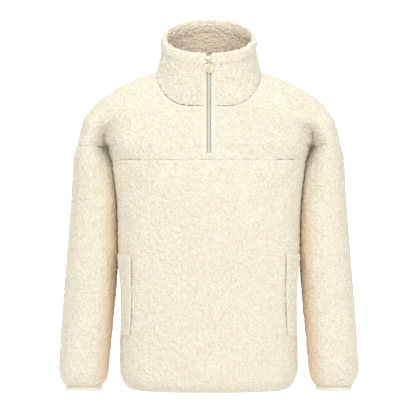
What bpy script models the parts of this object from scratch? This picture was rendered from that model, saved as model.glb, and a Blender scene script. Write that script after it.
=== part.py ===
"""Half-zip high-pile fleece, filled out as if worn, with no wearer.

Metres, +Z up. The front faces -Y and the origin is the middle of the neck base,
level with the highest points of the shoulders.
"""

import math
from collections import namedtuple

import bmesh
import bpy
from mathutils import Matrix, Vector

# The cloth, and the gap that is left at every seam
FLEECE = 0.0045
SEAM_GAP = 0.0003
HALF_GAP = SEAM_GAP / 2

# Levels of the cut, from the shoulders down
ARMHOLE_Z = -0.150
ZIP_END_Z = -0.166
YOKE_Z = -0.179

# The body is drawn from round hoops: chest and arm are each a quarter ellipse in depth
CHEST_DEPTH = 0.130
CHEST_DROP = 0.400
BACK_DEPTH = 0.120
BACK_DROP = 0.220
ARM_DEPTH = 0.070
ARM_DROP = 0.090
CHEST_ENDS_X = 0.150
ARM_STARTS_X = 0.215

# The armpit fold runs down and inwards to the point under the arm
UNDERARM_X = 0.2044
FOLD_SLANT = 0.55
FOLD_WIDTH = 0.014
FOLD_STARTS_Z = -0.092
SHOULDER_TIP_X = 0.264

# Neck seam, seen from above
NECK_HALF_WIDTH = 0.106
NECK_FRONT = 0.080
NECK_BACK = 0.072
NECK_SQUARENESS = 3.3

# Strips across a quarter of the body, the front of an arm and the upper rows
BODY_STRIPS = 10
ARM_STRIPS = 7
UPPER_ROWS = 9

# Collar
COLLAR_STRIPS = 36
COLLAR_TOP_HALF_WIDTH = 0.094
COLLAR_TOP_HALF_DEPTH = 0.074
COLLAR_TOP_MIDDLE_Y = -0.012
COLLAR_TOP_MIDDLE_Z = 0.071
COLLAR_TOP_SLOPE = 0.554
COLLAR_FLARE = 2.5
COLLAR_LIFT = 0.0006

# Zip
ZIP_HALF_WIDTH = 0.0073
ZIP_RECESS = 0.0015
ZIP_TAPE = 0.0015
ZIP_TAPE_ROWS = 8
ZIP_TOP_BELOW_RIM = 0.006

# Sleeve
SLEEVE_POINTS = 40
SLEEVE_SETTLES_Z = -0.205
GATHER_DEPTH = 0.0014

# Bindings
BINDING = 0.0022
CUFF_BINDING_HEIGHT = 0.0075
HEM_BINDING_HEIGHT = 0.0075
HEM_BINDING_BELOW = 0.0015
CUFF_BINDING_POINTS = 24
HEM_BINDING_POINTS = 48

# Pockets
POCKET_TOP_Z = -0.363
POCKET_BOTTOM_Z = -0.520
WELT = 0.0030
WELT_LIFT = 0.0012
WELT_ROWS = 8
WELT_STRIPS = 3
WELT_SEAM_TOP = 0.836
WELT_SEAM_BOTTOM = 0.872
WELT_EDGE = 0.975

# Slider and pull
SLIDER_Z = 0.0175
SLIDER_PART = 0.84
SLIDER_TAPER = 0.7
SLIDER_ROUNDING = 0.0009
SLIDER_HALF_WIDTH = 0.0045
SLIDER_HALF_HEIGHT = 0.0062
SLIDER_THICKNESS = 0.0040
BAIL_WIRE = 0.0008
BAIL_HALF_HEIGHT = 0.0042
BAIL_RISE = 0.0046
PULL_WIRE = 0.0007
PULL_TOP_HALF_WIDTH = 0.0030
PULL_NECK_HALF_WIDTH = 0.0014
PULL_LENGTH = 0.0095
DISC_RADIUS = 0.0090
DISC_THICKNESS = 0.0016
DISC_POINTS = 32
PULL_STANDS_OFF = 0.0016

Shoulder = namedtuple("Shoulder", "x front_z back_z")
SHOULDER_LINE = [
    Shoulder(0.000, 0.0120, 0.0600),
    Shoulder(0.040, 0.0100, 0.0515),
    Shoulder(0.075, 0.0060, 0.0300),
    Shoulder(0.095, 0.0025, 0.0110),
    Shoulder(0.106, 0.0000, 0.0000),
    Shoulder(0.148, -0.0130, -0.0130),
    Shoulder(0.190, -0.0365, -0.0365),
    Shoulder(0.2295, -0.0625, -0.0625),
    Shoulder(0.2487, -0.0930, -0.0930),
    Shoulder(0.2602, -0.1290, -0.1290),
    Shoulder(0.2640, -0.1500, -0.1500),
]

Torso = namedtuple("Torso", "z half_width front back squareness")
TORSO = [
    Torso(-0.150, 0.2044, 0.1040, 0.1195, 2.8),
    Torso(-0.158, 0.2008, 0.1060, 0.1190, 2.8),
    Torso(-0.166, 0.1965, 0.1080, 0.1185, 2.8),
    Torso(-0.179, 0.1905, 0.1100, 0.1180, 2.8),
    Torso(-0.214, 0.1858, 0.1135, 0.1165, 2.8),
    Torso(-0.267, 0.1803, 0.1160, 0.1150, 2.8),
    Torso(-0.325, 0.1795, 0.1165, 0.1120, 2.9),
    Torso(-0.382, 0.1795, 0.1150, 0.1105, 3.0),
    Torso(-0.440, 0.1752, 0.1130, 0.1100, 3.0),
    Torso(-0.495, 0.1750, 0.1135, 0.1115, 3.0),
    Torso(-0.545, 0.1772, 0.1160, 0.1150, 3.0),
    Torso(-0.588, 0.1778, 0.1175, 0.1170, 3.0),
    Torso(-0.608, 0.1745, 0.1160, 0.1155, 3.0),
    Torso(-0.622, 0.1665, 0.1095, 0.1090, 2.9),
    Torso(-0.629, 0.1590, 0.1020, 0.1015, 2.8),
]

Sleeve = namedtuple("Sleeve", "z outer inner half_depth middle gather")
SLEEVE = [
    Sleeve(-0.150, 0.2640, 0.2047, 0.070, 0.000, 0.0),
    Sleeve(-0.166, 0.2685, 0.1988, 0.070, 0.000, 0.0),
    Sleeve(-0.182, 0.2710, 0.1925, 0.069, 0.001, 0.0),
    Sleeve(-0.214, 0.2730, 0.1880, 0.066, 0.002, 0.0),
    Sleeve(-0.262, 0.2755, 0.1835, 0.060, 0.002, 0.0),
    Sleeve(-0.326, 0.2807, 0.1820, 0.057, 0.000, 0.0),
    Sleeve(-0.407, 0.2865, 0.1815, 0.054, -0.006, 0.0),
    Sleeve(-0.488, 0.2921, 0.1890, 0.052, -0.014, 0.0),
    Sleeve(-0.570, 0.2970, 0.1965, 0.051, -0.022, 0.0),
    Sleeve(-0.597, 0.2980, 0.1990, 0.050, -0.024, 0.3),
    Sleeve(-0.613, 0.2920, 0.2035, 0.045, -0.025, 1.0),
    Sleeve(-0.6235, 0.2830, 0.2120, 0.0355, -0.026, 1.0),
]

# Up the collar: how far its outer and inner faces lie in from its outline.
# The top quarter is doubled, because the edge is folded to the inside.
Rim = namedtuple("Rim", "part outer inner")
COLLAR_ROWS = [
    Rim(0.00, 0.0000, 0.0045),
    Rim(0.20, 0.0000, 0.0045),
    Rim(0.45, 0.0000, 0.0045),
    Rim(0.72, 0.0000, 0.0050),
    Rim(0.77, 0.0000, 0.0095),
    Rim(0.88, 0.0000, 0.0105),
    Rim(0.96, 0.0012, 0.0098),
    Rim(1.00, 0.0038, 0.0074),
]


def ease(low, high, value):
    """0 below low and 1 above high, with a smooth rise between them."""
    part = min(max((value - low) / (high - low), 0.0), 1.0)
    return part * part * (3 - 2 * part)


def read(rows, key, value, along):
    """The column `value` of a table where its column `key` is `along`, on a smooth curve."""
    places = [getattr(row, key) for row in rows]
    values = [getattr(row, value) for row in rows]
    if places[0] > places[-1]:
        places.reverse()
        values.reverse()
    along = min(max(along, places[0]), places[-1])
    k = 0
    while k < len(places) - 2 and along > places[k + 1]:
        k += 1
    slopes = [
        (values[i + 1] - values[i]) / (places[i + 1] - places[i])
        for i in range(len(places) - 1)
    ]

    def slope_at(i):
        if i in (0, len(slopes)):
            return slopes[min(i, len(slopes) - 1)]
        before, after = slopes[i - 1], slopes[i]
        return 2 * before * after / (before + after) if before * after > 0 else 0.0

    step = places[k + 1] - places[k]
    t = (along - places[k]) / step
    return (
        values[k] * (1 + 2 * t) * (1 - t) ** 2
        + values[k + 1] * t * t * (3 - 2 * t)
        + slope_at(k) * step * t * (1 - t) ** 2
        - slope_at(k + 1) * step * t * t * (1 - t)
    )


def hoop(part):
    """Quarter ellipse: 0 at the shoulder line, rising steeply and then flat at 1."""
    part = min(max(part, 0.0), 1.0)
    return math.sqrt(1 - (1 - part) ** 2)


def upper_depth(x, z, back, fold_x=UNDERARM_X):
    """How far the cloth stands out from the middle plane above the armholes."""
    line = read(SHOULDER_LINE, "x", "back_z" if back else "front_z", x)
    below = max(line - z, 0.0)
    depth, drop = (BACK_DEPTH, BACK_DROP) if back else (CHEST_DEPTH, CHEST_DROP)
    chest = depth * hoop(below / drop)
    arm = ARM_DEPTH * hoop(below / ARM_DROP)
    to_arm = ease(CHEST_ENDS_X, ARM_STARTS_X, x)
    plain = chest * (1 - to_arm) + arm * to_arm
    folded = ease(-FOLD_STARTS_Z, -ARMHOLE_Z, -z)
    trough = folded * math.exp(-(((x - fold_x) / FOLD_WIDTH) ** 2))
    at_pinch = FLEECE + SEAM_GAP
    return plain * (1 - trough) + min(at_pinch, plain) * trough


def torso_spacing(squareness):
    """Places from 0 at the centre to 1 at the side, even along the round section."""
    turns = [math.pi / 2 * i / BODY_STRIPS for i in range(BODY_STRIPS + 1)]
    return [math.sin(turn) ** (2 / squareness) for turn in turns]


def torso_depth(part, z, back):
    """Depth of the trunk below the armholes, at `part` of its half width."""
    squareness = read(TORSO, "z", "squareness", z)
    depth = read(TORSO, "z", "back" if back else "front", z)
    round_depth = depth * (1 - min(part, 1.0) ** squareness) ** (1 / squareness)
    to_round = ease(-ARMHOLE_Z, -YOKE_Z, -z)
    if to_round == 1.0:
        return round_depth
    at_armhole = upper_depth(part * UNDERARM_X, ARMHOLE_Z, back)
    return at_armhole * (1 - to_round) + round_depth * to_round


def neck_point(part, back):
    """A point of the neck seam, from the centre (0) to the shoulder (1)."""
    turn = part * math.pi / 2
    across = math.sin(turn) ** (2 / NECK_SQUARENESS)
    x = ZIP_HALF_WIDTH + (NECK_HALF_WIDTH - ZIP_HALF_WIDTH) * across
    y = (NECK_BACK if back else NECK_FRONT) * math.cos(turn) ** (2 / NECK_SQUARENESS)
    depth, drop = (BACK_DEPTH, BACK_DROP) if back else (CHEST_DEPTH, CHEST_DROP)
    line = read(SHOULDER_LINE, "x", "back_z" if back else "front_z", x)
    return Vector((x, y, line - drop * (1 - math.sqrt(1 - (y / depth) ** 2))))


def shoulder_point(part):
    """A point of the shoulder line, evenly spaced from the neck (0) to the armhole (1)."""
    first, last = NECK_HALF_WIDTH, SHOULDER_TIP_X
    steps = 60
    points = []
    for i in range(steps + 1):
        x = first + (last - first) * (1 - (1 - i / steps) ** 2)
        points.append(Vector((x, 0, read(SHOULDER_LINE, "x", "front_z", x))))
    lengths = [0.0]
    for a, b in zip(points, points[1:]):
        lengths.append(lengths[-1] + (b - a).length)
    target = part * lengths[-1]
    for i in range(steps):
        if lengths[i + 1] >= target:
            ratio = (target - lengths[i]) / (lengths[i + 1] - lengths[i])
            return points[i].lerp(points[i + 1], ratio)
    return points[-1]


def from_zip(half_width, part):
    """Place between the edge of the zip opening and the side."""
    return ZIP_HALF_WIDTH + (half_width - ZIP_HALF_WIDTH) * part


def armhole_row_x():
    """Places across the level of the armhole: the trunk's strips, then the arm's."""
    trunk = [from_zip(UNDERARM_X, part) for part in torso_spacing(TORSO[0].squareness)]
    arm = [
        UNDERARM_X
        + (SHOULDER_TIP_X - UNDERARM_X) * (1 - math.cos(math.pi * i / ARM_STRIPS)) / 2
        for i in range(1, ARM_STRIPS + 1)
    ]
    return trunk + arm


def panel_rows(back, last_z):
    """Rows of points of half a panel, from the neck seam down to last_z.

    The first rows run from the centre to the shoulder line. Below the armhole
    they end at the side seam, so they are shorter.
    """
    side = 1 if back else -1
    bottom = armhole_row_x()
    count = len(bottom) - 1
    rows = []
    for j in range(UPPER_ROWS + 1):
        down = j / UPPER_ROWS
        neck_z = neck_point(0, back).z
        centre_z = neck_z + (ARMHOLE_Z - neck_z) * down
        shoulder = shoulder_point(down)
        places = []
        for i in range(count + 1):
            across = i / count
            neck = neck_point(across, back)
            x = (1 - down) * neck.x + down * bottom[i] + across * shoulder.x
            x -= across * ((1 - down) * NECK_HALF_WIDTH + down * SHOULDER_TIP_X)
            z = (1 - down) * neck.z + down * ARMHOLE_Z
            z += (1 - across) * centre_z + across * shoulder.z
            z -= (1 - across) * ((1 - down) * neck_z + down * ARMHOLE_Z)
            z -= across * down * ARMHOLE_Z
            places.append((x, z))
        fold_x, fold_z = places[BODY_STRIPS]
        folded = ease(-FOLD_STARTS_Z, -ARMHOLE_Z, -fold_z)
        shift = (UNDERARM_X + FOLD_SLANT * (fold_z - ARMHOLE_Z) - fold_x) * folded
        row = []
        for i, (x, z) in enumerate(places):
            x += shift * min(i / BODY_STRIPS, (count - i) / ARM_STRIPS)
            depth = upper_depth(x, z, back, fold_x + shift) if i < count else 0.0
            row.append(Vector((x, side * max(depth, HALF_GAP), z)))
        rows.append(row)
    levels = [row.z for row in TORSO if last_z <= row.z < ARMHOLE_Z]
    for z in levels:
        rows.append(trunk_row(z, back))
    return rows


def trunk_row(z, back):
    """Half a hoop of the trunk at one level, from the centre to the side seam."""
    side = 1 if back else -1
    half_width = read(TORSO, "z", "half_width", z)
    row = []
    for part in torso_spacing(read(TORSO, "z", "squareness", z)):
        x = from_zip(half_width, part)
        depth = torso_depth(x / half_width, z, back) if part < 1 else 0.0
        row.append(Vector((x, side * max(depth, HALF_GAP), z)))
    return row


def out_of_cloth(rows, j, i, level):
    """Direction out of the cloth at one point of half a panel.

    At the side and shoulder seams it stays in the middle plane, and in a level
    row it stays level, so that the walls of two panels meet edge to edge.
    """
    row = rows[j]
    above = rows[max(j - 1, 0)][i]
    next_row = rows[min(j + 1, len(rows) - 1)]
    below = next_row[i] if i < len(next_row) else row[i]
    down = below - above
    along = row[min(i + 1, len(row) - 1)] - row[max(i - 1, 0)]
    if i == len(row) - 1:
        normal = Vector((1, 0, 0)) if level else Vector((-down.z, 0, down.x))
    elif level:
        normal = Vector((along.y, -along.x, 0))
    else:
        normal = along.cross(down)
    if i == 0:
        normal.x = 0
    normal.normalize()
    outward = Vector((row[i].x * 0.5, row[i].y, 0.02))
    if level and i > BODY_STRIPS:
        outward = Vector((row[i].x - (UNDERARM_X + SHOULDER_TIP_X) / 2, row[i].y, 0))
    return normal if normal.dot(outward) > 0 else -normal


def whole_rows(half):
    """Both halves of each row, from the right side seam over the centre to the left one."""
    return [[Vector((-p.x, p.y, p.z)) for p in reversed(row)] + list(row) for row in half]


def closed_wall(name, sheets, finish, is_cut=None):
    """One closed solid from sheets of cloth, each an (outer, inner) pair of point rows.

    Points at one place are one vertex, so sheets that share a row are joined, and a
    row that ends where it starts is a ring. Every free edge gets a rim.
    """
    mesh = bmesh.new()
    known = {}

    def vertex(point):
        key = tuple(round(value * 1e7) for value in point)
        if key not in known:
            known[key] = mesh.verts.new(point)
        return known[key]

    free = {}
    for outer, inner in sheets:
        for j in range(len(outer) - 1):
            for i in range(len(outer[j]) - 1):
                if is_cut and is_cut(outer[j][i], outer[j][i + 1], outer[j + 1][i]):
                    continue
                places = [(j, i), (j + 1, i), (j + 1, i + 1), (j, i + 1)]
                out = [vertex(outer[a][b]) for a, b in places]
                into = [vertex(inner[a][b]) for a, b in places]
                mesh.faces.new(out)
                mesh.faces.new(into[::-1])
                for k in range(4):
                    after = (k + 1) % 4
                    edge = frozenset((out[k], out[after]))
                    if edge in free:
                        del free[edge]
                    else:
                        free[edge] = (out[after], out[k], into[k], into[after])
    for rim in free.values():
        mesh.faces.new(rim)
    bmesh.ops.recalc_face_normals(mesh, faces=mesh.faces)
    if mesh.calc_volume(signed=True) < 0:
        bmesh.ops.reverse_faces(mesh, faces=mesh.faces)
    return add_object(name, mesh, finish)


def add_object(name, mesh, finish):
    data = bpy.data.meshes.new(name)
    mesh.to_mesh(data)
    mesh.free()
    data.materials.append(finish)
    data.shade_smooth()
    made = bpy.data.objects.new(name, data)
    garment.objects.link(made)
    return made


def make_finish(name, colour, roughness, metallic=0.0):
    finish = bpy.data.materials.new(name)
    finish.use_nodes = True
    shader = finish.node_tree.nodes["Principled BSDF"]
    shader.inputs["Base Color"].default_value = (*colour, 1)
    shader.inputs["Roughness"].default_value = roughness
    shader.inputs["Metallic"].default_value = metallic
    return finish


def panel(name, rows, level_rows, finish, has_slit=False):
    """A whole panel from the rows of its right half."""
    inner = [
        [
            point - out_of_cloth(rows, j, i, j in level_rows) * FLEECE
            for i, point in enumerate(row)
        ]
        for j, row in enumerate(rows)
    ]
    turns = [j for j in range(1, len(rows)) if len(rows[j]) < len(rows[j - 1])]
    if turns:
        # Below the armhole the rows are shorter: a second sheet starts on that row
        first, short = turns[0], len(rows[turns[0]])
        halves = [
            (rows[:first], inner[:first]),
            (
                [rows[first - 1][:short]] + rows[first:],
                [inner[first - 1][:short]] + inner[first:],
            ),
        ]
    else:
        halves = [(rows, inner)]
    sheets = [(whole_rows(outer), whole_rows(inside)) for outer, inside in halves]

    def in_slit(point, beside, below):
        return point.x < 0 < beside.x and below.z > ZIP_END_Z - SEAM_GAP

    return closed_wall(name, sheets, finish, in_slit if has_slit else None)


def around(half_width, front, back, middle_y, squareness, z, points, centre_x=0.0):
    """A level ring, closed on its first point."""
    ring = []
    for k in range(points):
        turn = 2 * math.pi * k / points
        across, deep = math.sin(turn), -math.cos(turn)
        x = centre_x + half_width * math.copysign(abs(across) ** (2 / squareness), across)
        depth = front if deep < 0 else back
        y = middle_y + depth * math.copysign(abs(deep) ** (2 / squareness), deep)
        ring.append(Vector((x, y, z)))
    return ring + [ring[0].copy()]


def moved_in(ring, distance):
    """A closed level ring, each point moved square to the ring towards its inside."""
    moved = []
    count = len(ring) - 1
    centre = sum(ring[:-1], Vector()) / count
    for k in range(count):
        along = ring[(k + 1) % count] - ring[k - 1]
        normal = Vector((along.y, -along.x, 0)).normalized()
        if normal.dot(ring[k] - centre) < 0:
            normal = -normal
        moved.append(ring[k] - normal * distance)
    return moved + [moved[0].copy()]


def sleeve_ring(row):
    """The sleeve at one row of its table. Its top follows the armhole of the panels."""
    top = 1 - ease(-ARMHOLE_Z, -SLEEVE_SETTLES_Z, -row.z)
    half, centre = (row.outer - row.inner) / 2, (row.outer + row.inner) / 2
    first, last = UNDERARM_X + SEAM_GAP, SHOULDER_TIP_X
    ring = []
    for k in range(SLEEVE_POINTS):
        turn = 2 * math.pi * k / SLEEVE_POINTS
        puff = 1 + row.gather * GATHER_DEPTH / half * (1 if k % 2 else -1)
        x = centre - half * puff * math.cos(turn)
        y = row.middle - row.half_depth * puff * math.sin(turn)
        if top:
            hole_x = first + (last - first) * (1 - math.cos(turn)) / 2
            depth = upper_depth(hole_x, ARMHOLE_Z, False)
            hole_y = -math.copysign(depth, math.sin(turn)) if k % (SLEEVE_POINTS // 2) else 0
            y += (hole_y - y) * top
        ring.append(Vector((x, y, row.z)))
    return ring + [ring[0].copy()]


def flipped(rows, side):
    return [[Vector((p.x * side, p.y, p.z)) for p in row] for row in rows]


def make_sleeve(name, side, finish):
    outer = [sleeve_ring(row) for row in SLEEVE]
    for point in outer[0]:
        point.z = ARMHOLE_Z - SEAM_GAP
    inner = [moved_in(ring, FLEECE) for ring in outer]
    return closed_wall(name, [(flipped(outer, side), flipped(inner, side))], finish)


def make_cuff_binding(name, side, finish):
    """An elastic band under the gathers, as wide as the sleeve's end."""
    end = SLEEVE[-1]
    half, centre = (end.outer - end.inner) / 2, (end.outer + end.inner) / 2
    deep = end.half_depth
    top = end.z - SEAM_GAP
    outer = [
        around(half, deep, deep, end.middle, 2, z, CUFF_BINDING_POINTS, centre)
        for z in (top, top - CUFF_BINDING_HEIGHT)
    ]
    inner = [moved_in(ring, BINDING) for ring in outer]
    return closed_wall(name, [(flipped(outer, side), flipped(inner, side))], finish)


def make_hem_binding(finish):
    """An elastic band just inside the rolled hem."""
    end = TORSO[-1]
    inset = FLEECE + 2 * SEAM_GAP
    half, front, back = end.half_width - inset, end.front - inset, end.back - inset
    bottom = end.z - HEM_BINDING_BELOW
    outer = [
        around(half, front, back, 0, end.squareness, z, HEM_BINDING_POINTS)
        for z in (bottom + HEM_BINDING_HEIGHT, bottom)
    ]
    inner = [moved_in(ring, BINDING) for ring in outer]
    return closed_wall("hem_binding", [(outer, inner)], finish)


def collar_outline(part, along, back):
    """A point of the collar: `part` up from the neck seam, `along` from centre to side."""
    base = neck_point(along, back)
    turn = along * math.pi / 2
    deep = math.cos(turn) * (1 if back else -1)
    top_y = COLLAR_TOP_MIDDLE_Y + COLLAR_TOP_HALF_DEPTH * deep
    top = Vector((
        from_zip(COLLAR_TOP_HALF_WIDTH, math.sin(turn)),
        top_y,
        COLLAR_TOP_MIDDLE_Z + COLLAR_TOP_SLOPE * (top_y - COLLAR_TOP_MIDDLE_Y),
    ))
    base.y *= 1 if back else -1
    inwards = 1 - (1 - part) ** COLLAR_FLARE
    return Vector((
        base.x + (top.x - base.x) * inwards,
        base.y + (top.y - base.y) * inwards,
        base.z + COLLAR_LIFT + (top.z - base.z - COLLAR_LIFT) * part,
    ))


def collar_half():
    """Outer and inner rows of the right half, from the zip round to the centre back."""
    steps = COLLAR_STRIPS // 4
    route = [(i / steps, False) for i in range(steps + 1)]
    route += [(1 - i / steps, True) for i in range(1, steps + 1)]
    outline = [[collar_outline(row.part, *place) for place in route] for row in COLLAR_ROWS]
    outer, inner = [], []
    for j, row in enumerate(COLLAR_ROWS):
        outer.append([])
        inner.append([])
        for i, point in enumerate(outline[j]):
            before = outline[j][max(i - 1, 0)]
            after = outline[j][min(i + 1, len(route) - 1)]
            normal = Vector((before.y - after.y, after.x - before.x, 0))
            if i in (0, len(route) - 1):
                normal.x = 0
            normal.normalize()
            if normal.dot(Vector((point.x, point.y - COLLAR_TOP_MIDDLE_Y, 0))) < 0:
                normal = -normal
            outer[j].append(point - normal * row.outer)
            inner[j].append(point - normal * row.inner)
    return outer, inner


def make_collar(finish):
    """A funnel with its opening at the front. Its right and left halves meet at the back."""
    outer, inner = collar_half()

    def round_back(rows):
        return [row + [Vector((-p.x, p.y, p.z)) for p in reversed(row)] for row in rows]

    return closed_wall("collar", [(round_back(outer), round_back(inner))], finish)


def zip_route():
    """Points (y, z) of the cloth's face along the zip, from its lower end to its top."""
    route = []
    neck = neck_point(0, False)
    for step in range(ZIP_TAPE_ROWS + 1):
        z = ZIP_END_Z + SEAM_GAP + (neck.z - ZIP_END_Z - SEAM_GAP) * step / ZIP_TAPE_ROWS
        if z > ARMHOLE_Z:
            depth = upper_depth(ZIP_HALF_WIDTH, z, False)
        else:
            depth = torso_depth(ZIP_HALF_WIDTH / UNDERARM_X, z, False)
        route.append(Vector((0, -depth, z)))
    top = collar_outline(1, 0, False).z - ZIP_TOP_BELOW_RIM
    for row in COLLAR_ROWS[1:]:
        point = collar_outline(row.part, 0, False)
        route.append(Vector((0, point.y, min(point.z, top))))
        if point.z >= top:
            break
    return route


def make_zip_tape(name, side, finish):
    """One tape of the zip, a little behind the face of the fleece."""
    route = zip_route()
    outer, inner = [], []
    for k, point in enumerate(route):
        along = route[min(k + 1, len(route) - 1)] - route[max(k - 1, 0)]
        inwards = Vector((0, along.z, -along.y)).normalized()
        for rows, depth in ((outer, ZIP_RECESS), (inner, ZIP_RECESS + ZIP_TAPE)):
            place = point + inwards * depth
            rows.append([
                Vector((side * x, place.y, place.z))
                for x in (HALF_GAP, ZIP_HALF_WIDTH - SEAM_GAP)
            ])
    return closed_wall(name, [(outer, inner)], finish)


def on_body(x, z):
    """A point of the front body's facets, and the level direction out of it."""
    row = trunk_row(z, False)
    k = next(i for i in range(len(row) - 1) if row[i + 1].x >= x)
    a, b = row[k], row[k + 1]
    out = Vector((b.y - a.y, a.x - b.x, 0)).normalized()
    return a.lerp(b, (x - a.x) / (b.x - a.x)), out


def make_welt(name, side, finish):
    """A strip over the front body, sewn down on its centre edge, open towards the side."""
    outer, inner = [], []
    for j in range(WELT_ROWS + 1):
        down = j / WELT_ROWS
        z = POCKET_TOP_Z + (POCKET_BOTTOM_Z - POCKET_TOP_Z) * down
        half_width = read(TORSO, "z", "half_width", z)
        seam = WELT_SEAM_TOP + (WELT_SEAM_BOTTOM - WELT_SEAM_TOP) * down
        outer.append([])
        inner.append([])
        for i in range(WELT_STRIPS + 1):
            x = half_width * (seam + (WELT_EDGE - seam) * i / WELT_STRIPS)
            point, out = on_body(x, z)
            outer[j].append(point + out * (WELT_LIFT + WELT))
            inner[j].append(point + out * WELT_LIFT)
    return closed_wall(name, [(flipped(outer, side), flipped(inner, side))], finish)


def flat_piece(name, outlines, half_thickness, finish):
    """A flat piece from closed outlines of (x, y) points, as thick along its own Z."""
    curve = bpy.data.curves.new(name, "CURVE")
    curve.dimensions = "2D"
    curve.fill_mode = "BOTH"
    curve.extrude = half_thickness
    for outline in outlines:
        spline = curve.splines.new("POLY")
        spline.points.add(len(outline) - 1)
        for point, (x, y) in zip(spline.points, outline):
            point.co = (x, y, 0, 1)
        spline.use_cyclic_u = True
    curve.materials.append(finish)
    made = bpy.data.objects.new(name, curve)
    garment.objects.link(made)
    return made


def slider_face_y():
    """The front of the slider's body, which wraps the zip's chain."""
    face = collar_outline(SLIDER_PART, 0, False).y
    return face + ZIP_RECESS - SEAM_GAP - SLIDER_THICKNESS


def make_slider(finish):
    """The slider's body: a rounded wedge, wider at its top, just in front of the tapes."""
    bpy.ops.mesh.primitive_cube_add(size=1)
    slider = bpy.context.object
    slider.name = "zip_slider"
    size = (2 * SLIDER_HALF_WIDTH, SLIDER_THICKNESS, 2 * SLIDER_HALF_HEIGHT)
    slider.data.transform(Matrix.Diagonal((*size, 1)))
    for point in slider.data.vertices:
        if point.co.z < 0:
            point.co.x *= SLIDER_TAPER
    slider.location = (0, slider_face_y() + SLIDER_THICKNESS / 2, SLIDER_Z)
    bevel = slider.modifiers.new("rounded", "BEVEL")
    bevel.width = SLIDER_ROUNDING
    bevel.segments = 3
    slider.data.materials.append(finish)
    for collection in list(slider.users_collection):
        collection.objects.unlink(slider)
    garment.objects.link(slider)
    return slider


def make_bail(finish):
    """The bridge on the slider's face that the pull hangs in."""
    rise, wire, high = BAIL_RISE, 2 * BAIL_WIRE, BAIL_HALF_HEIGHT
    outer = [(0, -high), (rise * 0.6, -high), (rise, -high * 0.6)]
    inner = [(0, wire - high), (rise * 0.6 - wire * 0.4, wire - high)]
    inner.append((rise - wire, wire * 0.6 - high * 0.6))
    side = outer + [(x, -y) for x, y in reversed(outer)]
    inside = inner + [(x, -y) for x, y in reversed(inner)]
    bail = flat_piece("zip_bail", [side + inside[::-1]], BAIL_WIRE, finish)
    # Its own X points forwards and its own Y up
    bail.matrix_world = Matrix((
        (0, 0, -1, 0),
        (-1, 0, 0, slider_face_y() - SEAM_GAP),
        (0, 1, 0, SLIDER_Z),
        (0, 0, 0, 1),
    ))
    return bail


def make_pull(finish):
    """A link that narrows downwards into a plain round disc, cast in one."""
    bar, neck, wire = PULL_TOP_HALF_WIDTH, PULL_NECK_HALF_WIDTH, 2 * PULL_WIRE
    top = PULL_WIRE
    meet = math.asin(neck / DISC_RADIUS)
    centre = top - PULL_LENGTH - DISC_RADIUS * math.cos(meet)
    disc = []
    for k in range(DISC_POINTS + 1):
        turn = meet + (2 * math.pi - 2 * meet) * k / DISC_POINTS
        disc.append((DISC_RADIUS * math.sin(turn), centre + DISC_RADIUS * math.cos(turn)))
    outer = [(-bar * 0.7, top), (bar * 0.7, top), (bar, top - bar * 0.4)] + disc
    outer.append((-bar, top - bar * 0.4))
    hole_bottom = top - PULL_LENGTH + wire * 0.5
    hole = [
        (bar - wire * 0.9, top - wire),
        (wire * 0.35, hole_bottom),
        (-wire * 0.35, hole_bottom),
        (wire * 0.9 - bar, top - wire),
    ]
    pull = flat_piece("zip_pull", [outer, hole], DISC_THICKNESS / 2, finish)
    pull.matrix_world = Matrix((
        (1, 0, 0, 0),
        (0, 0, -1, slider_face_y() - PULL_STANDS_OFF),
        (0, 1, 0, SLIDER_Z),
        (0, 0, 0, 1),
    ))
    return pull


for old in list(bpy.data.objects):
    bpy.data.objects.remove(old, do_unlink=True)
garment = bpy.data.collections.new("half_zip_fleece")
bpy.context.scene.collection.children.link(garment)

fleece = make_finish("cream_fleece", (0.88, 0.82, 0.70), 0.95)
elastic = make_finish("cream_elastic", (0.86, 0.80, 0.66), 0.45)
tape = make_finish("zip_tape", (0.70, 0.62, 0.45), 0.80)
gold = make_finish("pale_gold", (0.85, 0.76, 0.52), 0.30, 1.0)

front_rows = panel_rows(False, TORSO[-1].z)
yoke_count = UPPER_ROWS + 1 + sum(YOKE_Z <= row.z < ARMHOLE_Z for row in TORSO)
yoke_rows = front_rows[:yoke_count]
yoke_rows[-1] = trunk_row(YOKE_Z + SEAM_GAP, False)
body_rows = [trunk_row(YOKE_Z, False)] + front_rows[yoke_count:]
back_rows = panel_rows(True, TORSO[-1].z)

panel("front_yoke", yoke_rows, {UPPER_ROWS, len(yoke_rows) - 1}, fleece, has_slit=True)
panel("front_body", body_rows, {0, len(body_rows) - 1}, fleece)
panel("back", back_rows, {UPPER_ROWS, len(back_rows) - 1}, fleece)
make_collar(fleece)
make_hem_binding(elastic)
make_slider(gold)
make_bail(gold)
make_pull(gold)
for side_name, side in (("left", -1), ("right", 1)):
    make_sleeve(f"sleeve_{side_name}", side, fleece)
    make_cuff_binding(f"cuff_binding_{side_name}", side, elastic)
    make_welt(f"pocket_welt_{side_name}", side, fleece)
    make_zip_tape(f"zip_tape_{side_name}", side, tape)
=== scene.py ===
"""A cream half-zip fleece in soft daylight on white, filled out as if it were worn."""

import math

import bmesh
import bpy
import numpy as np
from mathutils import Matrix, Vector
from mathutils.kdtree import KDTree


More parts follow.
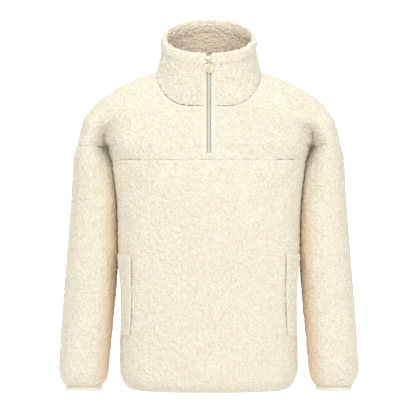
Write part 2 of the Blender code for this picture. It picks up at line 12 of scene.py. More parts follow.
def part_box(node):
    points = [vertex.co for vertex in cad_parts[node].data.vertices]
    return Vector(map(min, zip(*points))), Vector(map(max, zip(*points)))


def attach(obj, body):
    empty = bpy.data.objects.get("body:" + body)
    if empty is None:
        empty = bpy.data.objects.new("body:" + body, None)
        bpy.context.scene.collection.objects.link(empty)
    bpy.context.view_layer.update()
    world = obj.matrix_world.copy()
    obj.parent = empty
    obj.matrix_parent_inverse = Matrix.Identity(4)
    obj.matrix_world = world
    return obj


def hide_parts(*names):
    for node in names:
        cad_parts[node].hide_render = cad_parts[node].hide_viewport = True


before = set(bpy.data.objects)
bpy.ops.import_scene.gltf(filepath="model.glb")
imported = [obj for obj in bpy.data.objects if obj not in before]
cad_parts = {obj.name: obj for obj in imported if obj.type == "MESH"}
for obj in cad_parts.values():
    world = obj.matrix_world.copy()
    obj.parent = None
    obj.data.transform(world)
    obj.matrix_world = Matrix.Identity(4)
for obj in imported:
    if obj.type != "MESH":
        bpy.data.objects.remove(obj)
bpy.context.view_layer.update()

# The camera stands 3.2 m in front of the garment, level with its middle, and looks
# straight at it. The far inside of the neck shows over the low front of the collar.
CAMERA_PLACE = Vector((-0.0016, -3.2, -0.272))
PHOTO_WIDTH = 0.832
lens_data = bpy.data.cameras.new("camera")
lens_data.sensor_width = 36
lens_data.lens = lens_data.sensor_width * -CAMERA_PLACE.y / PHOTO_WIDTH
lens_data.clip_start = 0.05
camera = bpy.data.objects.new("camera", lens_data)
camera.location = CAMERA_PLACE
camera.rotation_euler = (math.pi / 2, 0, 0)
bpy.context.scene.collection.objects.link(camera)
bpy.context.scene.camera = camera


# The studio: matt white paper that runs down the wall and out over the floor in one
# bend. Large soft lights hang in front and above, and two more whiten the wall.
class Wire:
    """A value in a material. Arithmetic on it adds nodes to the material's tree."""

    def __init__(self, tree, socket=None):
        self.tree = tree
        self.socket = socket

    def node(self, kind, settings=None, output=0, **values):
        """A new node of this kind, with its settings, and values or wires on its inputs."""
        made = self.tree.nodes.new(kind)
        for name, value in (settings or {}).items():
            setattr(made, name, value)
        for name, value in values.items():
            if name.startswith("at_"):
                place = made.inputs[int(name[3:])]
            else:
                place = made.inputs[name.replace("_", " ")]
            if isinstance(value, Wire):
                self.tree.links.new(value.socket, place)
            else:
                place.default_value = value
        return Wire(self.tree, made.outputs[output])

    def maths(self, operation, first, second=0.0):
        values = {"at_0": first, "at_1": second}
        return self.node("ShaderNodeMath", {"operation": operation}, **values)

    def __add__(self, other):
        return self.maths("ADD", self, other)

    def __sub__(self, other):
        return self.maths("SUBTRACT", self, other)

    def __mul__(self, other):
        return self.maths("MULTIPLY", self, other)

    def __radd__(self, other):
        return self.maths("ADD", other, self)

    def __rsub__(self, other):
        return self.maths("SUBTRACT", other, self)

    def __rmul__(self, other):
        return self.maths("MULTIPLY", other, self)

    def sine(self):
        return self.maths("SINE", self)

    def size(self):
        """The value without its sign."""
        return self.maths("ABSOLUTE", self)

    def between(self, low, high):
        """0 below low and 1 above high, smooth between them."""
        settings = {"interpolation_type": "SMOOTHSTEP"}
        return self.node(
            "ShaderNodeMapRange", settings, Value=self, From_Min=low, From_Max=high
        )

    def mix(self, first, second):
        """The first colour where this is 0, and the second where it is 1."""
        settings = {"data_type": "RGBA"}
        values = {"at_0": self, "at_6": first, "at_7": second}
        return self.node("ShaderNodeMix", settings, 2, **values)


def place_on_object(wire):
    """The object's own coordinates, in metres, as a vector and as x, y and z."""
    where = wire.node("ShaderNodeTexCoord", output=3)
    parts = wire.node("ShaderNodeSeparateXYZ", Vector=where)
    axes = [Wire(wire.tree, output) for output in parts.socket.node.outputs]
    return where, *axes


def noise(wire, where, size, detail=2.0, roughness=0.5):
    """Even noise from 0 to 1, whose lumps are about `size` metres."""
    return wire.node(
        "ShaderNodeTexNoise", Vector=where, Scale=1 / size, Detail=detail, Roughness=roughness
    )


def new_material(name):
    """A new material, its shader node and a wire to begin expressions with."""
    made = bpy.data.materials.new(name)
    made.use_nodes = True
    shader = made.node_tree.nodes["Principled BSDF"]
    return made, shader, Wire(made.node_tree)


def link_up(shader, wire, colour, roughness, height, rise, **constants):
    """Colour, roughness and bump of `height` (0 to 1) that stands `rise` metres high."""
    tree = wire.tree
    bump = wire.node("ShaderNodeBump", Strength=1.0, Distance=rise, Height=height)
    for name, value in (("Base Color", colour), ("Roughness", roughness), ("Normal", bump)):
        if isinstance(value, Wire):
            tree.links.new(value.socket, shader.inputs[name])
        else:
            shader.inputs[name].default_value = value
    for name, value in constants.items():
        shader.inputs[name.replace("_", " ")].default_value = value


def finished(name, mesh, materials):
    """A smooth-shaded object from a bmesh, with its materials, linked to the scene."""
    data = bpy.data.meshes.new(name)
    mesh.to_mesh(data)
    mesh.free()
    for material in materials:
        data.materials.append(material)
    data.shade_smooth()
    made = bpy.data.objects.new(name, data)
    bpy.context.scene.collection.objects.link(made)
    return made


FLOOR_Z = -0.77
WALL_Y = 5.5
WALL_TOP = 4.5
PAPER_REACH = 7
PAPER_BEND = 1.0
paper, paper_shader, paper_wire = new_material("studio_paper")
paper_place, *_ = place_on_object(paper_wire)
paper_grain = noise(paper_wire, paper_place, 0.004, 3)
link_up(
    paper_shader,
    paper_wire,
    noise(paper_wire, paper_place, 0.6).mix((0.94, 0.94, 0.94, 1), (0.97, 0.97, 0.965, 1)),
    0.9 - 0.05 * paper_grain,
    paper_grain,
    0.00005,
)
sweep = bmesh.new()
bmesh.ops.create_grid(sweep, x_segments=1, y_segments=1, size=1)
for corner in sweep.verts:
    corner_y = WALL_Y if corner.co.y > 0 else -PAPER_REACH
    corner.co = (corner.co.x * PAPER_REACH, corner_y, FLOOR_Z)
far_edge = [e for e in sweep.edges if all(v.co.y > 0 for v in e.verts)]
wall = bmesh.ops.extrude_edge_only(sweep, edges=far_edge)
for corner in wall["geom"]:
    if isinstance(corner, bmesh.types.BMVert):
        corner.co.z = WALL_TOP
bend = [e for e in sweep.edges if all(v.co.y > 0 and v.co.z < 0 for v in e.verts)]
bmesh.ops.bevel(
    sweep, geom=bend, affect="EDGES", offset=PAPER_BEND, segments=24, profile=0.5, material=-1
)
bmesh.ops.recalc_face_normals(sweep, faces=sweep.faces)
backdrop = finished("backdrop", sweep, [paper])

world = bpy.data.worlds.new("studio")
world.use_nodes = True
sky = world.node_tree.nodes["Background"]
sky.inputs["Color"].default_value = (1.0, 0.995, 0.985, 1)
sky.inputs["Strength"].default_value = 0.62
bpy.context.scene.world = world
bpy.context.scene.view_settings.view_transform = "Standard"

STUDIO_LIGHTS = [
    # name, place, size, watts, colour
    ("key", (-1.1, -2.4, 1.5), 1.8, 31, (1.0, 0.985, 0.965)),
    ("fill", (1.6, -2.3, 0.3), 1.8, 19, (0.99, 0.99, 0.99)),
    ("top", (0.0, 0.0, 2.3), 1.6, 22, (1.0, 1.0, 1.0)),
    ("wall_left", (-2.6, 3.6, 0.6), 2.0, 115, (1.0, 1.0, 1.0)),
    ("wall_right", (2.6, 3.6, 0.6), 2.0, 115, (1.0, 1.0, 1.0)),
]
GARMENT_MIDDLE = Vector((0, 0, -0.25))
WALL_MIDDLE = Vector((0, WALL_Y, -0.2))
for light_name, light_place, light_size, watts, light_colour in STUDIO_LIGHTS:
    light_data = bpy.data.lights.new(light_name, "AREA")
    light_data.size = light_size
    light_data.energy = watts
    light_data.color = light_colour
    light = bpy.data.objects.new(light_name, light_data)
    light.location = light_place
    aim = WALL_MIDDLE if light_name.startswith("wall") else GARMENT_MIDDLE
    light.rotation_euler = (aim - light.location).to_track_quat("-Z", "Y").to_euler()
    bpy.context.scene.collection.objects.link(light)

# The fleece panels: cream polyester pile on a knitted ground, about 4.5 mm thick, cut
# and sewn, with the pile outside. Each is the CAD node's wall, smoothed and divided
# until its nubs of pile can be shaped. The reverse is smooth, brushed knit.
NUB = 0.0052
NUB_RISE = 0.0033
MEAN_LUMP = 0.62
CLUMP = 0.0105
CLUMP_RISE = 0.0017
PILE_ROLL = 0.0008
SEAM_REACH = 0.0055
SEAM_OVERLAP = 0.0008
SEAM_NUB = 0.75
ARMPIT_Z = -0.150
SLEEVE_GAP_X = 0.187
PRESSED_RISE = 0.0036
FOLD_FILL = 0.0080
SLEEVE_TUCK = 0.0022
RIM_ANGLE = 1.3
COLLAR_RIM_ANGLE = 1.0
COLLAR_MIDDLE_Y = -0.012
TURNED_EDGE = 0.023
TURNED_EDGE_RISE = 0.0030
STITCHED_DIP = 0.0012
COLLAR_TUCK = 0.0026
COLLAR_OVERHANG = 0.0005
ZIP_FOOT_Z = -0.1675
PILE_OVER_ZIP = 0.0015
ZIP_EDGE_RISE = 0.0014
MOST_HALVINGS = 6


def pile_material(name, top, shaded_hollow):
    """Curled pile. The nubs are in the mesh and the attribute `nub`; the fibres are here. Its
    colour holds painted shade, darker where nubs and fibres lie low.
    """
    made, shader, wire = new_material(name)
    where, *_ = place_on_object(wire)
    nub = wire.node("ShaderNodeAttribute", {"attribute_name": "nub"}, 2)
    painted_warm_shade = wire.node("ShaderNodeAttribute", {"attribute_name": "painted_warm_shade"}, 2)
    strayed = wire.node(
        "ShaderNodeVectorMath",
        {"operation": "MULTIPLY_ADD"},
        at_0=wire.node("ShaderNodeTexNoise", output=1, Vector=where, Scale=260.0, Detail=1.0),
        at_1=(0.004, 0.004, 0.004),
        at_2=where,
    )
    curls = wire.node(
        "ShaderNodeTexVoronoi", {"feature": "SMOOTH_F1"}, Vector=strayed, Scale=1 / 0.0034,
        Smoothness=0.35,
    )
    fibres = noise(wire, strayed, 0.0009, 3, 0.6)
    patches = noise(wire, where, 0.05)
    height = 0.75 * (1 - curls) + 0.25 * fibres
    # Painted shade: the colour falls to the second, darker colour where the nubs and fibres lie
    # low; the patches add a little random tone.
    light = nub * 0.6 + height * 0.4 + (patches - 0.5) * 0.1
    colour = light.between(0.10, 0.70).mix(shaded_hollow, top)
    # Painted shade, orange-brown, where the attribute marks the shaded inside of the collar and
    # the inner sides of the sleeves.
    colour = (painted_warm_shade * 0.9).mix(colour, (0.93, 0.70, 0.48, 1))
    link_up(
        shader, wire, colour, 0.92 - 0.08 * fibres, height, 0.0024,
        Sheen_Weight=0.2, Sheen_Roughness=0.6, Specular_IOR_Level=0.1,
        Subsurface_Weight=0.12, Subsurface_Radius=(1.0, 0.6, 0.32), Subsurface_Scale=0.006,
    )
    return made


def reverse_material(name, top, shaded_hollow):
    """The brushed reverse: fine knitted ribs under a short even nap. Its colour holds painted
    shade, darker where they lie low.
    """
    made, shader, wire = new_material(name)
    where, x, y, _ = place_on_object(wire)
    ribs = 0.5 + 0.5 * ((x + y * 0.7) * (2 * math.pi / 0.0016)).sine()
    nap = noise(wire, where, 0.0012, 3, 0.6)
    height = 0.35 * ribs + 0.65 * nap
    # Painted shade: darker where the ribs and nap lie low, with slow random tone.
    colour = (height * 0.7 + noise(wire, where, 0.04) * 0.3).between(0.2, 0.8)
    link_up(
        shader, wire, colour.mix(shaded_hollow, top), 0.9 - 0.06 * nap, height, 0.0004,
        Sheen_Weight=0.15, Specular_IOR_Level=0.1,
        Subsurface_Weight=0.2, Subsurface_Radius=(1.0, 0.6, 0.32), Subsurface_Scale=0.006,
    )
    return made


def merged_copy(node):
    """A bmesh of the CAD node with its facets joined into quads again."""
    mesh = bmesh.new()
    mesh.from_mesh(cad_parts[node].data)
    bmesh.ops.remove_doubles(mesh, verts=mesh.verts, dist=1e-5)
    bmesh.ops.join_triangles(
        mesh, faces=mesh.faces, angle_face_threshold=0.8, angle_shape_threshold=1.6
    )
    return mesh


def mark_faces(mesh, rim_angle):
    """Marks each face 0 on the outer face of the cloth, 1 on the inner one, 2 on a rim."""
    sharp = {edge for edge in mesh.edges if edge.calc_face_angle(0) > rim_angle}
    regions = []
    seen = set()
    for start in mesh.faces:
        if start in seen:
            continue
        seen.add(start)
        region = [start]
        for face in region:
            for edge in face.edges:
                if edge in sharp:
                    continue
                for other in edge.link_faces:
                    if other not in seen:
                        seen.add(other)
                        region.append(other)
        regions.append(region)
    regions.sort(key=lambda region: -sum(face.calc_area() for face in region))
    for place, region in enumerate(regions):
        for face in region:
            face.material_index = min(place, 2)
    return sharp


def smoothed(made, levels):
    """Puts the object's subdivision surface in the place of its mesh, and returns it."""
    smoothing = made.modifiers.new("smooth", "SUBSURF")
    smoothing.levels = smoothing.render_levels = levels
    made.data = bpy.data.meshes.new_from_object(
        made.evaluated_get(bpy.context.evaluated_depsgraph_get())
    )
    made.modifiers.remove(smoothing)
    return made.data


def ramp(values, start, end):
    """0 before start and 1 past end, in a straight line between them."""
    return np.clip((values - start) / (end - start), 0, 1)


def ridge(values, centre, width):
    """1 at the centre, and falling away smoothly to both sides."""
    return np.exp(-(((values - centre) / width) ** 2))


def cells(points, size, seed):
    """Packed round lumps at these points: 0 in the hollows and up to 1 on the tops."""
    grid = points / size
    base = np.floor(grid)
    nearest = np.full(len(points), 9.0)
    second = np.full(len(points), 9.0)
    for step in np.ndindex(3, 3, 3):
        cell = base + np.array(step) - 1
        key = cell @ np.array([127.1, 311.7, 74.7]) + seed
        jitter = np.stack([np.sin(key * k) * 43758.5453 for k in (1.0, 1.37, 1.91)], axis=1)
        centre = cell + 0.5 + (jitter - np.floor(jitter) - 0.5) * 0.85
        far = np.linalg.norm(grid - centre, axis=1)
        second = np.minimum(second, np.maximum(far, nearest))
        nearest = np.minimum(nearest, far)
    parted = np.clip((second - nearest) * 4, 0, 1) ** 0.5
    return np.clip(1 - (nearest / 0.85) ** 2, 0, 1) * parted


def swell(points, size, seed):
    """Slow, even undulation from -1 to 1, a few `size` metres long."""
    rise = np.zeros(len(points))
    for k in range(1, 6):
        turn = seed * 1.7 + k * 2.4
        way = np.array([math.cos(turn), math.sin(turn * 1.3), math.sin(turn)])
        rise += np.sin(points @ way * (2 * math.pi / size) * (0.7 + 0.15 * k) + turn * 3)
    return rise / 3


# Soft folds of the filled-out cloth, as ridges (+) and troughs (-) in metres. They move
# both faces of every cloth piece alike, forwards or backwards, so seams stay closed.
SWELL_RISE = 0.0011
SWELL_LENGTH = 0.085
FOLDS = [
    # is on the back, start x z, end x z, half width, height; mirrored to the other side
    (False, 0.176, -0.192, 0.120, -0.262, 0.016, -0.0032),
    (False, 0.170, -0.225, 0.130, -0.330, 0.024, 0.0030),
    (False, 0.196, -0.238, 0.262, -0.272, 0.011, -0.0036),
    (False, 0.200, -0.300, 0.270, -0.322, 0.016, 0.0024),
    (False, 0.205, -0.395, 0.272, -0.380, 0.015, -0.0026),
    (False, 0.212, -0.500, 0.280, -0.520, 0.018, 0.0026),
    (False, 0.060, -0.300, 0.090, -0.470, 0.030, -0.0030),
    (False, 0.012, -0.215, 0.020, -0.420, 0.034, 0.0030),
    (False, 0.110, -0.560, 0.060, -0.600, 0.020, -0.0026),
    (True, 0.170, -0.200, 0.100, -0.280, 0.018, -0.0036),
    (True, 0.050, -0.260, 0.080, -0.480, 0.032, -0.0036),
    (True, 0.020, -0.120, 0.026, -0.330, 0.030, 0.0028),
    (True, 0.205, -0.250, 0.262, -0.285, 0.012, -0.0034),
    (True, 0.206, -0.410, 0.274, -0.390, 0.016, -0.0028),
]


def draped(points):
    """The points of the cloth, moved by its folds and by a slow, even unevenness."""
    x, y, z = points.T
    aside = np.abs(x)
    clear_of_zip = ramp(aside, 0.010, 0.040)
    below_zip = ramp(z, -0.170, -0.200)
    clear_of_neck = ramp(z, -0.085, -0.135)
    clear_of_hem = ramp(z, -0.612, -0.592)
    calm = np.maximum(clear_of_zip, below_zip) * clear_of_neck * clear_of_hem
    moved = points.copy()
    for is_back in (False, True):
        rise = SWELL_RISE * swell(points * (1, 0, 1), SWELL_LENGTH, 3 + is_back)
        for back, x0, z0, x1, z1, width, height in FOLDS:
            if back != is_back:
                continue
            along_x, along_z = x1 - x0, z1 - z0
            part = ((aside - x0) * along_x + (z - z0) * along_z) / (along_x**2 + along_z**2)
            near = np.clip(part, 0, 1)
            far = np.hypot(aside - x0 - along_x * near, z - z0 - along_z * near)
            taper = 0.35 + 0.65 * np.sin(np.pi * near)
            rise += height * taper * ridge(far, 0, width)
        side = 1 if is_back else -1
        moved[:, 1] += side * rise * ramp(side * y, 0, 0.035) ** 2 * calm
    return moved


def below_collar_top(points):
    """How far points lie below the sloping plane of the collar's top edge."""
    return 0.071 + 0.554 * (points[:, 1] - COLLAR_MIDDLE_Y) - points[:, 2]


def divide_outer_face(mesh, spacing):
    """Halves the edges of the outer face until none is longer than `spacing`."""
    for _ in range(MOST_HALVINGS):
        long_edges = [
            edge
            for edge in mesh.edges
            if any(face.material_index == 0 for face in edge.link_faces)
            and edge.calc_length() > spacing
        ]
        if not long_edges:
            break
        bmesh.ops.subdivide_edges(mesh, edges=long_edges, cuts=1, use_grid_fill=True)
    big = [face for face in mesh.faces if len(face.verts) > 4]
    bmesh.ops.triangulate(mesh, faces=big)
    mesh.verts.index_update()
    mesh.normal_update()


def faces_meet(part):
    """True where an edge or a corner lies between the outer face and the rest."""
    return len({face.material_index for face in part.link_faces}) > 1


def clear_of_seams(points, at_seam):
    """0 on the seams and edges of a panel, and 1 from SEAM_REACH away from them."""
    tree = KDTree(len(at_seam))
    for k, vert in enumerate(at_seam):
        tree.insert(vert.co, k)
    tree.balance()
    far = np.array([tree.find(point)[2] for point in points])
    part = np.clip(far / SEAM_REACH, 0, 1)
    return part * part * (3 - 2 * part)


def pile_rise(points, inside, lumps):
    """How far the outer face stands out: nubs and clumps, and pile that fills gaps."""
    aside, z = np.abs(points[:, 0]), points[:, 2]
    rise = -PILE_ROLL * (1 - inside) + NUB_RISE * (lumps - MEAN_LUMP) * (0.25 + 0.75 * inside)
    rise += CLUMP_RISE * (cells(points, CLUMP, 53) - 0.5) * inside
    # Sleeve and trunk are pressed together below the arm, so the pile fills the gap
    beside = ramp(np.abs(aside - SLEEVE_GAP_X), 0.022, 0)
    rise += PRESSED_RISE * beside * ramp(z, -0.405, -0.355) * (z < ARMPIT_Z)
    # The pile fills the pinched fold above the armhole
    fold_x = 0.2044 + 0.55 * (z - ARMPIT_Z)
    above_armhole = ramp(z, ARMPIT_Z, ARMPIT_Z + 0.012) * ramp(z, -0.085, -0.115)
    return rise + FOLD_FILL * ridge(aside, fold_x, 0.016) * above_armhole


def fleece_piece(node, spacing, materials):
    """Builds one panel from its CAD node: smooth, divided, draped and covered in nubs."""
    is_collar = node == "collar"
    mesh = merged_copy(node)
    crease = mesh.edges.layers.float.new("crease_edge")
    for edge in mark_faces(mesh, COLLAR_RIM_ANGLE if is_collar else RIM_ANGLE):
        middle = np.array([(edge.verts[0].co + edge.verts[1].co) / 2])
        is_soft = is_collar and below_collar_top(middle)[0] < 0.008
        edge[crease] = 0.0 if is_soft else 1.0
    made = finished(node + "_pile", mesh, materials)
    smooth = smoothed(made, 2)

    mesh = bmesh.new()
    mesh.from_mesh(smooth)
    for face in mesh.faces:
        middle = np.array([face.calc_center_median()])
        has_turned_edge = is_collar and below_collar_top(middle)[0] < TURNED_EDGE + 0.005
        face.material_index = 0 if face.material_index == 0 or has_turned_edge else 1
    divide_outer_face(mesh, spacing)
    has_pile = np.array(
        [any(face.material_index == 0 for face in vert.link_faces) for vert in mesh.verts]
    )
    points = np.array([vert.co for vert in mesh.verts])
    normals = np.array([vert.normal for vert in mesh.verts])
    at_seam = [vert for vert in mesh.verts if faces_meet(vert)]
    inside = clear_of_seams(points, at_seam)
    lumps = 0.72 * cells(points, NUB, 11) + 0.28 * cells(points, NUB * 0.62, 29)
    rise = pile_rise(points, inside, lumps)
    # Painted orange-brown shade for the pile, from 0 to 1, set below inside the collar and on the
    # inner sides of the sleeves.
    warm_shade_amount = np.zeros(len(points))
    tucked = np.zeros_like(points)
    for vert in at_seam:
        across = sum((f.normal for f in vert.link_faces if f.material_index), Vector())
        tucked[vert.index] = across.normalized() * SEAM_OVERLAP
        outwards = sum((f.normal for f in vert.link_faces if not f.material_index), Vector())
        normals[vert.index] = outwards.normalized()
    for edge in mesh.edges:
        edge.smooth = not faces_meet(edge)

    x, y, z = points.T
    aside = np.abs(x)
    if is_collar:
        depth = below_collar_top(points)
        from_axis = (points - (0, COLLAR_MIDDLE_Y, 0)) * (1, 1, 0)
        outside = ramp((normals * from_axis).sum(axis=1), 0, 0.03)
        turned = ramp(depth, 0, 0.006) * ramp(depth, TURNED_EDGE, TURNED_EDGE - 0.004)
        stitched = ridge(depth, TURNED_EDGE, 0.0022)
        rise += (TURNED_EDGE_RISE * turned - STITCHED_DIP * stitched) * outside
        at_base = (1 - inside) * (depth > 0.05) * (aside > 0.009)
        rise += COLLAR_OVERHANG * at_base
        tucked[:, 2] -= COLLAR_TUCK * at_base
        # Painted shade on the inside of the collar, fading in below its top edge.
        warm_shade_amount = 0.28 * (1 - outside) * ramp(depth, 0, 0.012)
    if node in ("front_yoke", "collar"):
        by_zip = ramp(aside, 0.0125, 0.0075) * (y < -0.05)
        by_zip *= ramp(z, ZIP_FOOT_Z, ZIP_FOOT_Z + 0.002)
        tucked[:, 0] -= np.sign(x) * PILE_OVER_ZIP * by_zip * (0.4 + lumps)
        rise += ZIP_EDGE_RISE * by_zip
    if node.startswith("sleeve"):
        tucked[:, 2] += SLEEVE_TUCK * (1 - inside) * (z > ARMPIT_Z - 0.01)
        # Painted shade on the lower inner side of the sleeve, where it hangs beside the body.
        inner_edge = 0.182 + 0.09 * np.clip(-0.407 - z, 0, 1)
        warm_shade_amount = ramp(aside - inner_edge, 0.030, 0) * ramp(z, -0.18, -0.30)

    shift = normals * rise[:, None] + tucked
    points = draped(points) + shift * has_pile[:, None]
    mesh.to_mesh(smooth)
    mesh.free()
    smooth.vertices.foreach_set("co", points.ravel())
    # The attribute nub sets the painted shade between the nubs, going to an even 0.75 at seams;
    # the other attribute carries the painted orange-brown shade.
    shades = {"nub": lumps * inside + SEAM_NUB * (1 - inside), "painted_warm_shade": warm_shade_amount}
    for name, values in shades.items():
        attribute = smooth.attributes.new(name, "FLOAT", "POINT")
        attribute.data.foreach_set("value", values.astype(np.float32))
    smooth.shade_smooth()
    smooth.update()
    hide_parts(node)
    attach(made, "garment")


# The second colour of each fleece material is painted shade, for the low places between nubs,
# ribs and nap.
pile = pile_material("cream_pile", (0.93, 0.885, 0.755, 1), (0.84, 0.725, 0.545, 1))
reverse = reverse_material("cream_reverse", (0.99, 0.90, 0.75, 1), (0.95, 0.82, 0.64, 1))
FLEECE_PIECES = [
    # node, longest edge, flat width and length, flat area
    ("front_yoke", 0.0025, (0.60, 0.24), 0.090),
    ("front_body", 0.0025, (0.50, 0.48), 0.225),
    ("back", 0.0038, (0.62, 0.70), 0.330),
    ("sleeve_left", 0.0025, (0.34, 0.50), 0.150),
    ("sleeve_right", 0.0025, (0.34, 0.50), 0.150),
    ("collar", 0.0023, (0.56, 0.16), 0.080),
    ("pocket_welt_left", 0.0023, (0.036, 0.168), 0.0060),
    ("pocket_welt_right", 0.0023, (0.036, 0.168), 0.0060),
]
for node, spacing, flat, area in FLEECE_PIECES:
    fleece_piece(node, spacing, [pile, reverse])


# The front zip: a nylon coil of fine turns on two woven tapes, which are sewn in a
# little behind the edges of the fleece. The coil is closed up to the slider.
COIL_PITCH = 0.0013
COIL_RADIUS = 0.00115
COIL_WIRE = 0.00036
COIL_MIDDLE_X = 0.0010
STEPS_PER_TURN = 8


def tape_material():
    """A fine plain weave, with a stitched groove beside the coil coloured near black as painted
    shade, and a painted shadow of the fleece along the outer edge.
    """
    made, shader, wire = new_material("zip_tape_weave")
    where, x, _, z = place_on_object(wire)
    across = x.size()
    warp = 0.5 + 0.5 * (x * (2 * math.pi / 0.0007)).sine()
    weft = 0.5 + 0.5 * (z * (2 * math.pi / 0.0009)).sine()
    weave = wire.maths("MAXIMUM", warp * 0.9, weft)
    sewn_line_and_shade = 1 - ((across - 0.0029) * 1700.0).size().between(0.35, 1.0)
    shade = (weave * 0.6 + noise(wire, where, 0.004) * 0.4).between(0.15, 0.85)
    colour = shade.mix((0.66, 0.60, 0.46, 1), (0.86, 0.81, 0.68, 1))
    # Painted shade: the stitched groove beside the coil, a real groove in the bump, is coloured
    # near black.
    colour = sewn_line_and_shade.mix(colour, (0.26, 0.20, 0.12, 1))
    # Painted shadow: orange-brown along the outer edge of the tape, where the fleece overhangs
    # it.
    edge = across.between(0.0046, 0.0064)
    colour = (edge * 0.7).mix(colour, (0.50, 0.34, 0.19, 1))
    link_up(shader, wire, colour, 0.75 - 0.1 * weave, weave - sewn_line_and_shade * 0.6, 0.0002)
    return made


def coil_material():
    """Smooth extruded nylon, with faint streaks along the wire."""
    made, shader, wire = new_material("coil_nylon")
    where, *_ = place_on_object(wire)
    streaks = noise(wire, where, 0.0012, 3, 0.6)
    colour = streaks.between(0.25, 0.75).mix((0.84, 0.82, 0.74, 1), (0.95, 0.94, 0.89, 1))
    link_up(shader, wire, colour, 0.30 + 0.15 * streaks, streaks, 0.00008)
    return made


def swept(mesh, path, radius, sides):
    """A tube of even radius along a path of points, with closed ends."""
    rings = []
    across = Vector((0, 1, 0.01))
    for k, point in enumerate(path):
        along = (path[min(k + 1, len(path) - 1)] - path[max(k - 1, 0)]).normalized()
        across = (across - along * across.dot(along)).normalized()
        other = along.cross(across)
        ring = []
        for turn in (2 * math.pi * i / sides for i in range(sides)):
            offset = across * math.cos(turn) + other * math.sin(turn)
            ring.append(mesh.verts.new(point + offset * radius))
        rings.append(ring)
    for low, high in zip(rings, rings[1:]):
        for i in range(sides):
            after = (i + 1) % sides
            mesh.faces.new((low[i], low[after], high[after], high[i]))
    mesh.faces.new(rings[0][::-1])
    mesh.faces.new(rings[-1])


woven = tape_material()
for tape_name in ("zip_tape_left", "zip_tape_right"):
    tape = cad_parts[tape_name]
    tape.data.materials.clear()
    tape.data.materials.append(woven)

tape_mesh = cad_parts["zip_tape_right"].data
facing_front = [face for face in tape_mesh.polygons if face.normal.y < -0.2]
corners = {tuple(tape_mesh.vertices[k].co) for face in facing_front for k in face.vertices}
inner_edge = sorted((z, y) for x, y, z in corners if x < 0.001)
edge_z, edge_y = zip(*inner_edge)
slider_low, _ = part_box("zip_slider")
heights = np.arange(edge_z[0] + 0.002, slider_low[2] + 0.003, COIL_PITCH / STEPS_PER_TURN)
coil = bmesh.new()
for side in (-1, 1):
    path = []
    for k, height in enumerate(heights):
        turn = 2 * math.pi * k / STEPS_PER_TURN + (math.pi if side > 0 else 0)
        place_x = side * (COIL_MIDDLE_X + COIL_RADIUS * math.cos(turn))
        behind_y = np.interp(height, edge_z, edge_y) - COIL_WIRE
        place_y = behind_y - 0.5 * COIL_RADIUS * (1 + math.sin(turn))
        path.append(Vector((place_x, place_y, height)))
    swept(coil, path, COIL_WIRE, 6)
coil_piece = finished("zip_coil", coil, [coil_material()])
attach(coil_piece, "garment")

# Slider, bail and pull: cast zinc, plated pale gold and satin-polished, every edge
# rounded over. The disc is bare, with a low rim. Only the pull swings on the bail.
DISC_RIM_RADIUS = 0.0080
DISC_RIM = 0.0004
DISC_RADIUS = 0.0090
gold, gold_shader, gold_wire = new_material("pale_gold_plate")
gold_place, *_ = place_on_object(gold_wire)
brushed = noise(gold_wire, gold_place, 0.0006, 4, 0.65)
worn = noise(gold_wire, gold_place, 0.004, 2)
link_up(
    gold_shader,
    gold_wire,
    worn.between(0.3, 0.75).mix((0.83, 0.75, 0.52, 1), (0.93, 0.88, 0.70, 1)),
    0.26 + 0.16 * brushed,
    brushed,
    0.00003,
    Metallic=1.0,
)


def metal_piece(node, name, body, rounding):
    """The CAD node with its edges rounded over, and the pull's disc with its rim."""
    mesh = bmesh.new()
    mesh.from_mesh(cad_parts[node].data)
    bmesh.ops.remove_doubles(mesh, verts=mesh.verts, dist=1e-5)
    bmesh.ops.dissolve_limit(mesh, angle_limit=0.05, verts=mesh.verts, edges=mesh.edges)
    edges = [edge for edge in mesh.edges if edge.calc_face_angle(0) > 0.6]
    bmesh.ops.bevel(
        mesh, geom=edges, affect="EDGES", offset=rounding, segments=3, profile=0.5,
        material=-1, clamp_overlap=True,
    )
    if node == "zip_pull":
        low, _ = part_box("zip_pull")
        centre = Vector((0, low[1] + 0.0001, low[2] + DISC_RADIUS))
        section = []
        for k in range(9):
            turn = math.pi * k / 8
            offset = Vector((DISC_RIM * math.cos(turn), -DISC_RIM * math.sin(turn), 0))
            section.append(mesh.verts.new(centre + Vector((DISC_RIM_RADIUS, 0, 0)) + offset))
        outline = [mesh.edges.new(pair) for pair in zip(section, section[1:])]
        bmesh.ops.spin(
            mesh, geom=section + outline, cent=centre, axis=(0, 1, 0), angle=2 * math.pi,
            steps=64, use_merge=True,
        )
        bmesh.ops.recalc_face_normals(mesh, faces=mesh.faces)
    made = finished(name, mesh, [gold])
    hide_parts(node)
    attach(made, body)


metal_piece("zip_slider", "zip_slider_cast", "garment", 0.00025)
metal_piece("zip_bail", "zip_bail_cast", "garment", 0.0002)
metal_piece("zip_pull", "zip_pull_cast", "zip_pull", 0.00022)


# Cuffs and hem: bought elastic binding, shiny cream yarn over rubber, which draws the
# fleece into gathers. It is sewn on with one row of stitches.
STITCH = 0.0028
STITCH_GAP = 0.0009
THREAD = 0.00028
STITCH_ROW_DEPTH = 0.0016
STITCH_DIP = 0.0006
GATHER_RISE = 0.00045
elastic, elastic_shader, elastic_wire = new_material("shiny_elastic")
elastic_place, *_, elastic_z = place_on_object(elastic_wire)
cords = 0.5 + 0.5 * (elastic_z * (2 * math.pi / 0.0011)).sine()
yarn = noise(elastic_wire, elastic_place, 0.0006, 3, 0.6)
elastic_height = cords * 0.7 + yarn * 0.3
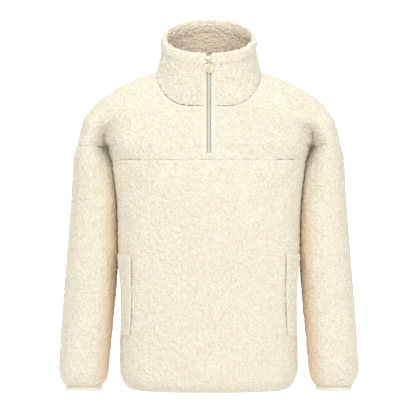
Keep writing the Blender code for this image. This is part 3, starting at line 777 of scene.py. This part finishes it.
# Painted shade: the elastic is coloured darker in the grooves between its cords.
link_up(
    elastic_shader,
    elastic_wire,
    elastic_height.between(0.1, 0.8).mix((0.80, 0.75, 0.60, 1), (0.95, 0.92, 0.81, 1)),
    0.42 + 0.2 * yarn,
    elastic_height,
    0.0003,
    Sheen_Weight=0.3,
    Coat_Weight=0.15,
)
thread, thread_shader, thread_wire = new_material("sewing_thread")
thread_place, *_ = place_on_object(thread_wire)
twist = noise(thread_wire, thread_place, 0.0005, 2)
link_up(
    thread_shader,
    thread_wire,
    twist.between(0.3, 0.7).mix((0.78, 0.72, 0.58, 1), (0.92, 0.88, 0.76, 1)),
    0.5 + 0.2 * twist,
    twist,
    0.0001,
)


def ring_around(node, height, outwards):
    """A level ring of points just outside a binding, from its CAD node."""
    low, high = (Vector(corner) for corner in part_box(node))
    centre = (low + high) / 2
    level = [v.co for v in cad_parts[node].data.vertices if v.co.z > centre.z]
    spread = {}
    for point in level:
        turn = round(math.atan2(point.x - centre.x, point.y - centre.y), 2)
        far = math.hypot(point.x - centre.x, point.y - centre.y)
        spread[turn] = max(spread.get(turn, 0), far)
    turns = sorted(spread)
    steps = np.linspace(-math.pi, math.pi, 721)
    fars = np.interp(steps, turns, [spread[turn] for turn in turns], period=2 * math.pi)
    return [
        Vector((
            centre.x + (far + outwards) * math.sin(turn),
            centre.y + (far + outwards) * math.cos(turn),
            height,
        ))
        for turn, far in zip(steps, fars)
    ]


def binding_piece(node, gathers):
    """One binding from its CAD node, drawn into even gathers, and its row of stitches."""
    mesh = merged_copy(node)
    crease = mesh.edges.layers.float.new("crease_edge")
    for edge in mark_faces(mesh, RIM_ANGLE):
        edge[crease] = 0.85
    made = finished(node + "_gathered", mesh, [elastic])
    low, high = (Vector(corner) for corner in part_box(node))
    centre = (low + high) / 2
    mesh = bmesh.new()
    mesh.from_mesh(smoothed(made, 3))
    for face in mesh.faces:
        face.material_index = 0
    long_edges = [edge for edge in mesh.edges if edge.calc_length() > 0.0012]
    bmesh.ops.subdivide_edges(mesh, edges=long_edges, cuts=1, use_grid_fill=True)
    for vert in mesh.verts:
        outwards = Vector((vert.co.x - centre.x, vert.co.y - centre.y, 0))
        turn = math.atan2(outwards.x, outwards.y)
        wave = math.sin(turn * gathers + 0.8 * math.sin(turn * 5))
        vert.co += outwards.normalized() * GATHER_RISE * wave
    mesh.to_mesh(made.data)
    mesh.free()
    made.data.shade_smooth()
    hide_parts(node)
    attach(made, "garment")

    ring = ring_around(node, high.z - STITCH_ROW_DEPTH, 0.0003)
    lengths = [0.0]
    for a, b in zip(ring, ring[1:]):
        lengths.append(lengths[-1] + (b - a).length)
    seam = bmesh.new()
    count = int(lengths[-1] / (STITCH + STITCH_GAP))
    for k in range(count):
        start = lengths[-1] * k / count
        path = []
        for part in np.linspace(0, 1, 5):
            at = start + STITCH * part
            point = Vector([np.interp(at, lengths, [p[axis] for p in ring]) for axis in range(3)])
            inwards = Vector((centre.x - point.x, centre.y - point.y, 0)).normalized()
            path.append(point + inwards * STITCH_DIP * (2 * part - 1) ** 4)
        swept(seam, path, THREAD, 6)
    stitches = finished(node + "_stitches", seam, [thread])
    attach(stitches, "garment")


for side_name in ("left", "right"):
    binding_piece(f"cuff_binding_{side_name}", 34)
binding_piece("hem_binding", 110)
